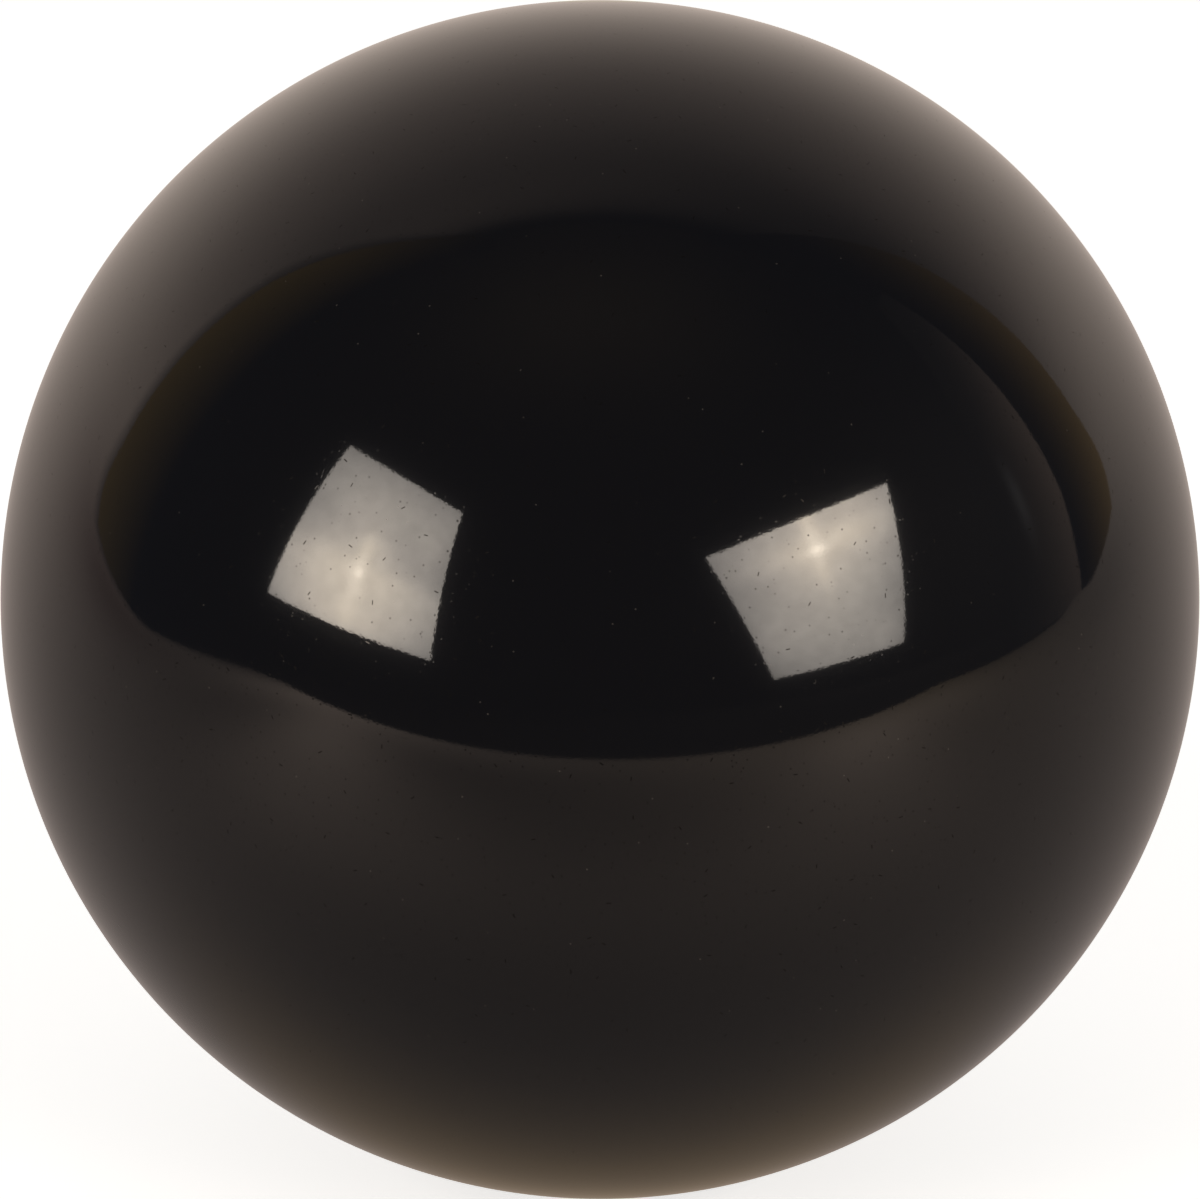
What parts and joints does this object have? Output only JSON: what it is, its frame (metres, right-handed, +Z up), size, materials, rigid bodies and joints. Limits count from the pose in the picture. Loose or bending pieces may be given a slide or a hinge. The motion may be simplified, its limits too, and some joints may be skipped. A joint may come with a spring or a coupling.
{
  "type": "snooker ball",
  "caption": "Solid round black ball of cast, ground and polished resin, which rolls on a cloth-covered table and is struck with a cue.",
  "frame": {"origin": "the ball's centre, which is the point that it rolls and spins about", "axes": "+Z is up, away from the table. The ball is alike in every direction, so X and Y are any two level directions"},
  "size_m": [0.0524, 0.0524, 0.0524],
  "materials": {
    "black_resin": "cast phenolic resin, pigmented black all through, ground and polished to a mirror gloss"
  },
  "bodies": {
    "root": {"ball": "black_resin"}
  },
  "joints": []
}
